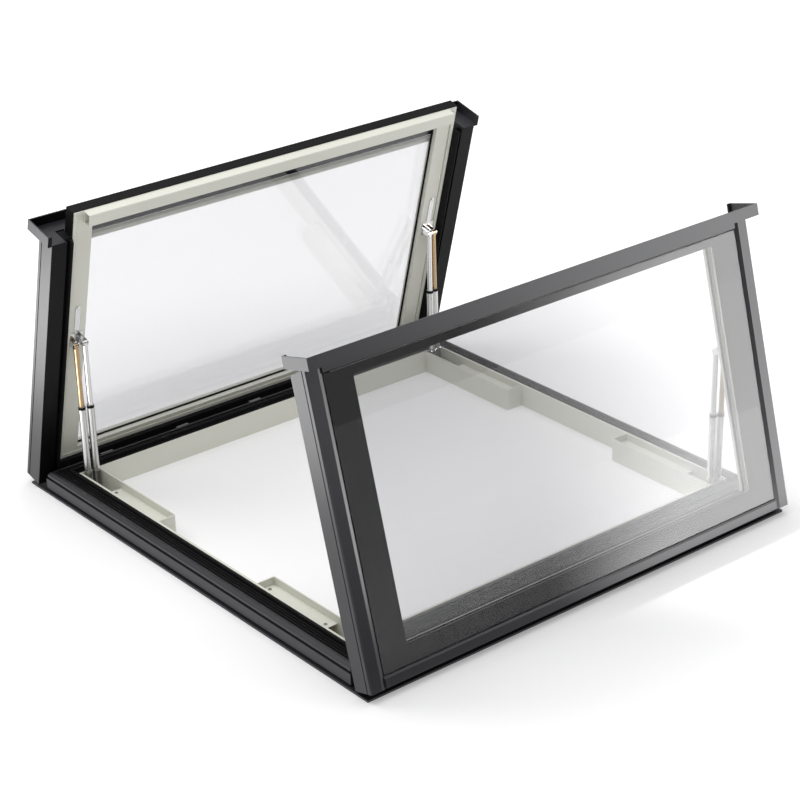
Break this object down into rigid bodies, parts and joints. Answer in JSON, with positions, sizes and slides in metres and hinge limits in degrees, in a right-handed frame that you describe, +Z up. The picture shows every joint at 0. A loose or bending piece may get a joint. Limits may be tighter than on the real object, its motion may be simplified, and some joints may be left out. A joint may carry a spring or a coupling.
{
  "type": "roof skylight",
  "caption": "Flat-roof access skylight: two glazed sashes hinged on opposite sides of a rectangular base frame, opening like a butterfly on gas struts.",
  "frame": {"origin": "centre of the base frame on the roof plane", "axes": "+Z up, +X from the left hinge side to the right one, +Y along the hinges away from the viewer"},
  "size_m": [1.8046, 1.706, 1.0091],
  "materials": {
    "anthracite": "satin powder coat",
    "cream": "satin powder coat",
    "seal": "matt",
    "strap": "satin black",
    "glass": "polished",
    "spacer": "matt",
    "tube": "brushed",
    "rod": "polished",
    "bracket": "bright"
  },
  "bodies": {
    "base": {"base_rail_left": "anthracite", "base_rail_right": "anthracite", "base_rail_near": "anthracite", "base_rail_far": "anthracite", "lining_left": "cream", "lining_right": "cream", "lining_near": "cream", "lining_far": "cream", "base_gasket": "seal", "strut_box_left_near": "cream", "strut_box_left_far": "cream", "strut_box_right_near": "cream", "strut_box_right_far": "cream", "box_lid_left_near": "cream", "box_lid_left_far": "cream", "box_lid_right_near": "cream", "box_lid_right_far": "cream", "lid_screws": "bracket", "foot_brackets_left": "bracket", "foot_brackets_right": "bracket", "foot_pins": "bracket", "rail_clips": "bracket", "hinge_straps_left": "strap", "hinge_straps_right": "strap", "hinge_pins": "bracket"},
    "sash_left": {"stile_left_near": "anthracite", "stile_left_far": "anthracite", "hinge_rail_left": "anthracite", "meeting_rail_left": "anthracite", "hood_left": "anthracite", "inner_frame_left": "cream", "cover_rail": "cream", "sash_seal_left": "seal", "outer_pane_left": "glass", "spacer_left": "spacer", "inner_pane_left": "glass", "glazing_gasket_left": "seal", "strut_brackets_left": "bracket"},
    "sash_right": {"stile_right_near": "anthracite", "stile_right_far": "anthracite", "hinge_rail_right": "anthracite", "meeting_rail_right": "anthracite", "hood_right": "anthracite", "inner_frame_right": "cream", "sash_seal_right": "seal", "outer_pane_right": "glass", "spacer_right": "spacer", "inner_pane_right": "glass", "glazing_gasket_right": "seal", "strut_brackets_right": "bracket"},
    "outer_cylinders_left": {"outer_cylinders_left": "tube"},
    "outer_rods_left": {"outer_rods_left": "rod"},
    "inner_cylinders_left": {"inner_cylinders_left": "tube"},
    "inner_rods_left": {"inner_rods_left": "rod"},
    "outer_cylinders_right": {"outer_cylinders_right": "tube"},
    "outer_rods_right": {"outer_rods_right": "rod"},
    "inner_cylinders_right": {"inner_cylinders_right": "tube"},
    "inner_rods_right": {"inner_rods_right": "rod"}
  },
  "joints": [
    {"name": "sash_left_hinge", "type": "hinge", "parent": "base", "child": "sash_left", "pos_m": [-0.85, 0, 0.145], "axis": [0, 1, 0], "range_deg": [0, 75]},
    {"name": "outer_struts_left_turn", "type": "hinge", "parent": "base", "child": "outer_cylinders_left", "pos_m": [-0.688, 0, 0.08], "axis": [0, 1, 0], "range_deg": [0, 88.33]},
    {"name": "outer_struts_left_slide", "type": "slide", "parent": "outer_cylinders_left", "child": "outer_rods_left", "axis": [0.007, 0, -1], "range_m": [0, 0.19865]},
    {"name": "inner_struts_left_turn", "type": "hinge", "parent": "base", "child": "inner_cylinders_left", "pos_m": [-0.682, 0, 0.08], "axis": [0, 1, 0], "range_deg": [0, 89.73]},
    {"name": "inner_struts_left_slide", "type": "slide", "parent": "inner_cylinders_left", "child": "inner_rods_left", "axis": [-0.0016, 0, -1], "range_m": [0, 0.20246]},
    {"name": "sash_right_hinge", "type": "hinge", "parent": "base", "child": "sash_right", "pos_m": [0.85, 0, 0.145], "axis": [0, -1, 0], "range_deg": [0, 75]},
    {"name": "outer_struts_right_turn", "type": "hinge", "parent": "base", "child": "outer_cylinders_right", "pos_m": [0.688, 0, 0.08], "axis": [0, -1, 0], "range_deg": [0, 88.33]},
    {"name": "outer_struts_right_slide", "type": "slide", "parent": "outer_cylinders_right", "child": "outer_rods_right", "axis": [-0.007, 0, -1], "range_m": [0, 0.19865]},
    {"name": "inner_struts_right_turn", "type": "hinge", "parent": "base", "child": "inner_cylinders_right", "pos_m": [0.682, 0, 0.08], "axis": [0, -1, 0], "range_deg": [0, 89.73]},
    {"name": "inner_struts_right_slide", "type": "slide", "parent": "inner_cylinders_right", "child": "inner_rods_right", "axis": [0.0016, 0, -1], "range_m": [0, 0.20246]}
  ],
  "couplings": [
    {"joint": "outer_struts_left_turn", "follows": "sash_left_hinge", "ratio": 1.1771},
    {"joint": "outer_struts_left_slide", "follows": "sash_left_hinge", "m_per_rad": 0.15168},
    {"joint": "inner_struts_left_turn", "follows": "sash_left_hinge", "ratio": 1.1957},
    {"joint": "inner_struts_left_slide", "follows": "sash_left_hinge", "m_per_rad": 0.15459},
    {"joint": "outer_struts_right_turn", "follows": "sash_right_hinge", "ratio": 1.1771},
    {"joint": "outer_struts_right_slide", "follows": "sash_right_hinge", "m_per_rad": 0.15168},
    {"joint": "inner_struts_right_turn", "follows": "sash_right_hinge", "ratio": 1.1957},
    {"joint": "inner_struts_right_slide", "follows": "sash_right_hinge", "m_per_rad": 0.15459}
  ]
}
